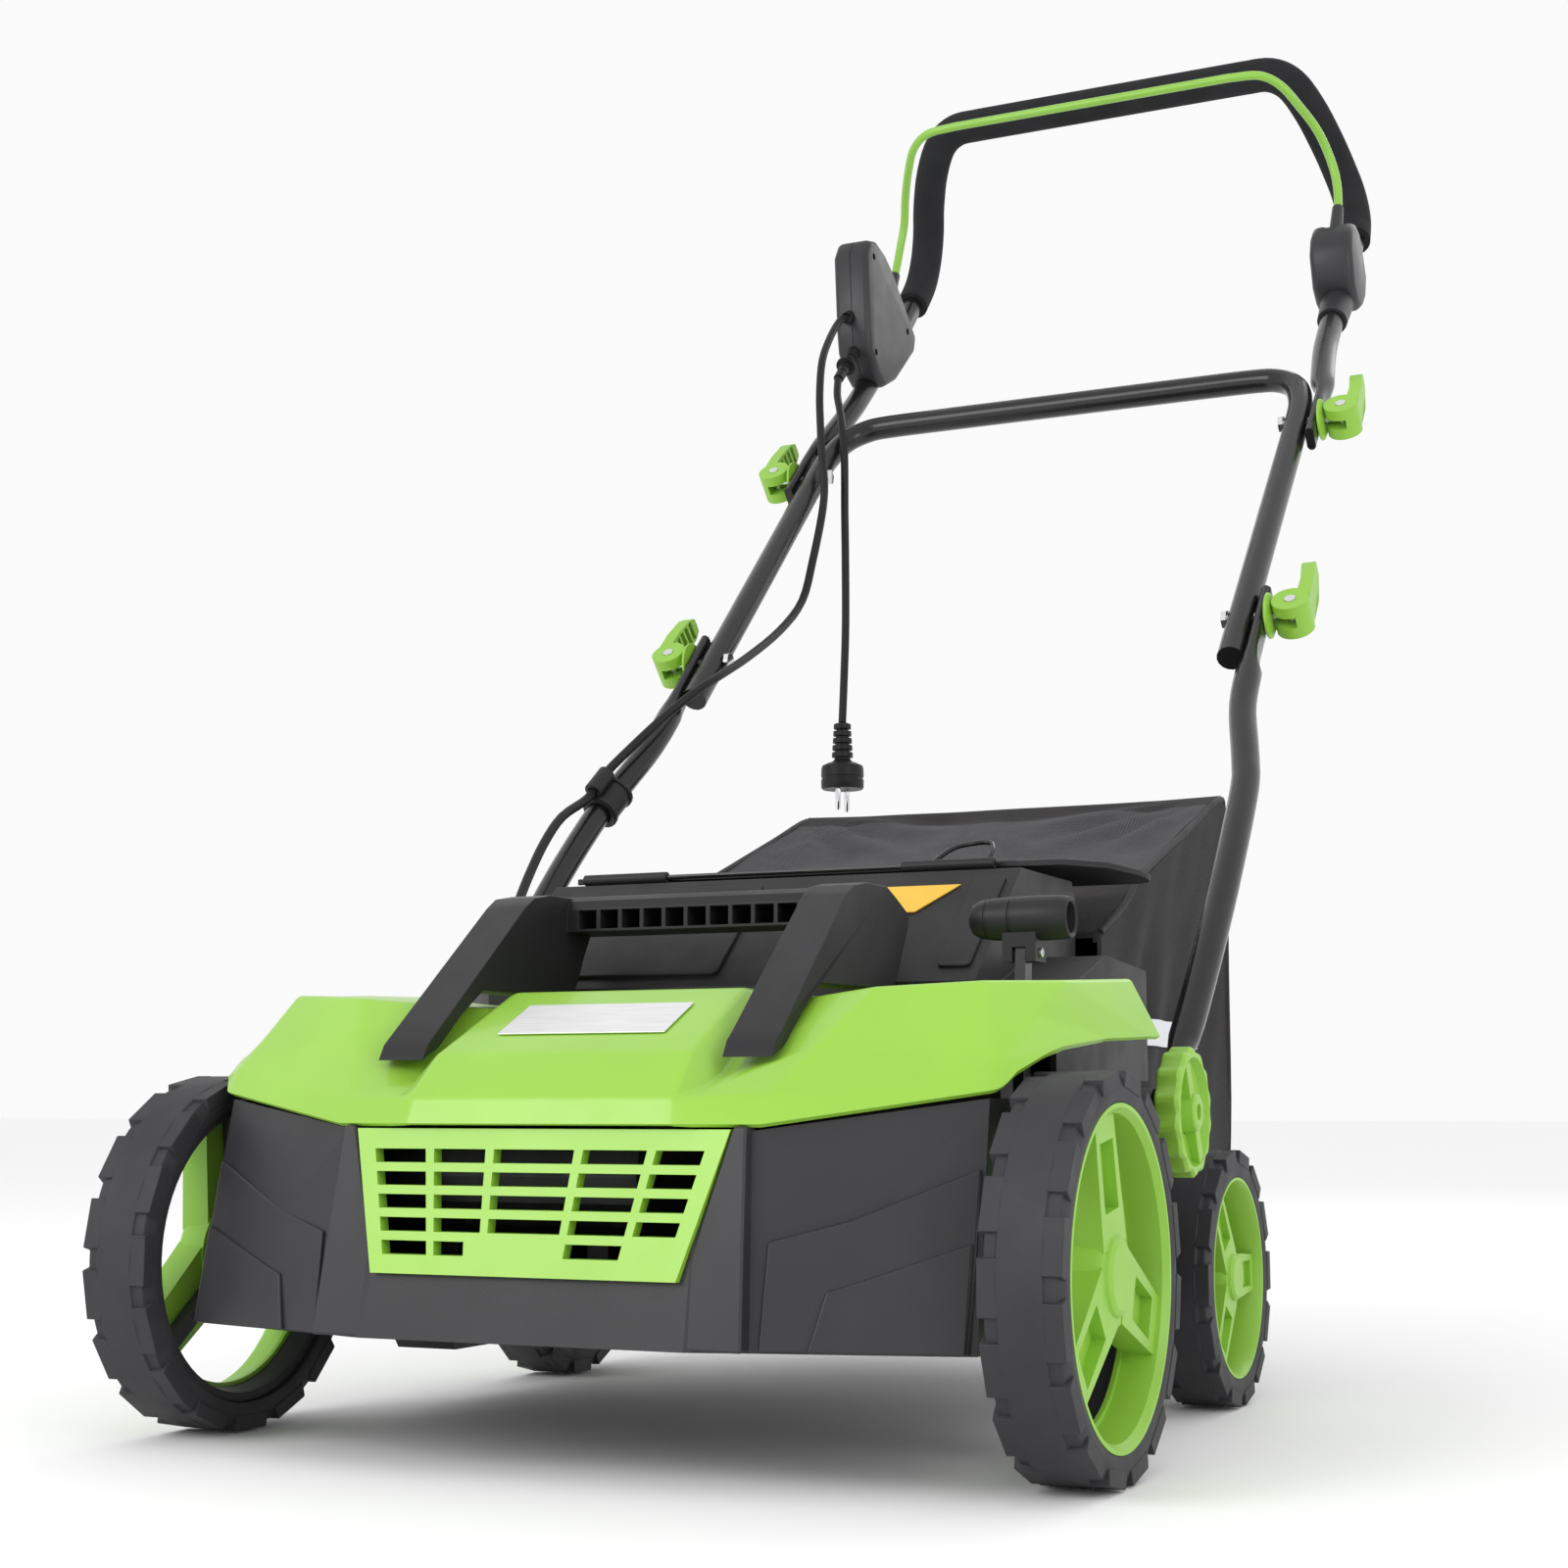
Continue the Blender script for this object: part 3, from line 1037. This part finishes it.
def warning_label():
    """A blank yellow label on the deck's front slope."""
    slope = atan2(0.3225 - 0.2520, 0.200 - DECK_FRONT)
    bm = bmesh.new()
    corners = [(0.020, -0.013), (0.103, -0.013), (0.125, 0.013), (0.005, 0.013)]
    face = bm.faces.new([bm.verts.new((x, y, 0.0004)) for x, y in corners])
    grown = bmesh.ops.extrude_face_region(bm, geom=[face])
    moved = [part for part in grown["geom"] if isinstance(part, bmesh.types.BMVert)]
    bmesh.ops.translate(bm, vec=(0, 0, 0.0008), verts=moved)
    slab = mesh_of(bm)
    slab.transform(Matrix.Rotation(slope, 4, "X"))
    slab.transform(Matrix.Translation((0, 0.178, 0.2520 + (0.178 - DECK_FRONT) * 0.0705 / (0.200 - DECK_FRONT))))
    return slab


# ---------------------------------------------------------------- the machine

DARK_PLASTIC = (BLACK, 0.6, 0.0)
place("chassis", chassis(), PLASTIC, "machine")
place("front_grille", front_grille(), GREEN_PLASTIC, "machine")
place("top_cover", top_cover(), GREEN_PLASTIC, "machine")
place("rear_deck", rear_deck(), DARK_PLASTIC, "machine")
place("carry_handle", carry_handle(), DARK_PLASTIC, "machine")
place("badge_plate", badge_plate(), BARE_STEEL, "machine")
place("warning_label", warning_label(), ((0.95, 0.62, 0.05), 0.5, 0.0), "machine")
place("motor", motor(), BARE_STEEL, "machine")
place("drive_belt", drive_belt(), RUBBER, "machine")
place("belt_cover", belt_cover(), DARK_PLASTIC, "machine")
place("depth_quadrant", depth_quadrant(), BARE_STEEL, "machine")
place("rear_axle", rear_axle(), BARE_STEEL, "machine")
place("flap_hinge_rod", disc(-0.1405, 0.1405, 0.206, 0.3265, 0.0015, 10), BARE_STEEL, "machine")
place("front_axle", front_axle(), BARE_STEEL, "front_axle_joint")
place("depth_lever", depth_lever(), BLACK_STEEL, "depth_lever_joint")
place("depth_grip", depth_grip(), PLASTIC, "depth_lever_joint")
place("depth_link", depth_link(), BARE_STEEL, "depth_link_joint")
place("drum_shaft", disc(-0.2085, 0.1870, DRUM_Y, DRUM_Z, 0.008, 12), BARE_STEEL, "drum_joint")
place("tine_drum", tine_drum(), BARE_STEEL, "drum_joint")
place("drum_pulley", cut(
    pulley(DRUM_Y, DRUM_Z, DRUM_PULLEY_RADIUS, 0, 0, 0),
    disc(-0.25, 0.0, DRUM_Y, DRUM_Z, 0.008 + GAP, 12),
), PLASTIC, "drum_joint")
place("motor_pulley", pulley(MOTOR_Y, MOTOR_Z, MOTOR_PULLEY_RADIUS, -0.2070, -0.110 + 0.018, 0.005), BARE_STEEL,
      "motor_pulley_joint")
place("rear_flap", rear_flap(), DARK_PLASTIC, "rear_flap_joint")
place("grass_bag", grass_bag(), ((0.03, 0.03, 0.035), 0.9, 0.0), "bag_joint")
place("bag_frame", bag_frame(), BLACK_STEEL, "bag_joint")
place("middle_frame", middle_frame(), BLACK_STEEL, "middle_joint")
place("upper_handle", upper_handle(), BLACK_STEEL, "upper_joint")
place("foam_grip", foam_grip(), RUBBER, "upper_joint")
place("bail_pivot_housing", bail_pivot_housing(), PLASTIC, "upper_joint")
place("switch_box", switch_box(), PLASTIC, "upper_joint")
place("strain_relief", strain_relief(), RUBBER, "upper_joint")
place("plug", plug(), RUBBER, "upper_joint")
place("bail", bail(), GREEN_PLASTIC, "bail_joint")
joint("button_joint", "upper_joint", (BOX_LOW_X, *BUTTON_AT))
place("switch_button", switch_button(), ((0.7, 0.1, 0.05), 0.4, 0.0), "button_joint")
place("cable_clip", cable_clip(), PLASTIC, "handle_joint")
cord("motor_cable", MOTOR_CABLE_ROUTE, "handle_joint")
cord("mains_lead", MAINS_LEAD_ROUTE, "upper_joint")

for side_name, side in SIDES:
    place("drum_bearing_" + side_name, bearing(side), BARE_STEEL, "machine")
    place("handle_bolt_" + side_name, handle_bolt(side), BARE_STEEL, "machine")
    place("handle_knob_" + side_name, handle_knob(side), GREEN_PLASTIC, "knob_joint_" + side_name)
    place("lower_tube_" + side_name, lower_tube(side), BLACK_STEEL, "handle_joint")
    for end, y, radius, width, rim_radius, wheel_x, sides in (
        ("front", 0.0, FRONT_WHEEL_RADIUS, FRONT_WHEEL_WIDTH, FRONT_RIM_RADIUS, FRONT_WHEEL_X, 32),
        ("rear", WHEELBASE, REAR_WHEEL_RADIUS, REAR_WHEEL_WIDTH, REAR_RIM_RADIUS, REAR_WHEEL_X, 28),
    ):
        wheel_joint = f"{end}_wheel_joint_{side_name}"
        place(f"{end}_rim_{side_name}", rim(side, wheel_x, y, radius, width, rim_radius, sides), GREEN_PLASTIC,
              wheel_joint)
        place(f"{end}_tyre_{side_name}", mirrored(tyre(wheel_x, y, radius, width, rim_radius, sides), side), RUBBER,
              wheel_joint)
    for end, y, z in CAMS:
        carrier = "handle_joint" if end == "lower" else "middle_joint"
        lever_joint = f"{end}_cam_joint_{side_name}"
        joint(lever_joint, carrier, (side * CAM_PIN_X, y, z))
        place(f"{end}_cam_bolt_{side_name}", cam_bolt(side, (y, z)), BARE_STEEL, carrier)
        place(f"{end}_cam_lever_{side_name}", cam_lever(side, (y, z)), GREEN_PLASTIC, lever_joint)
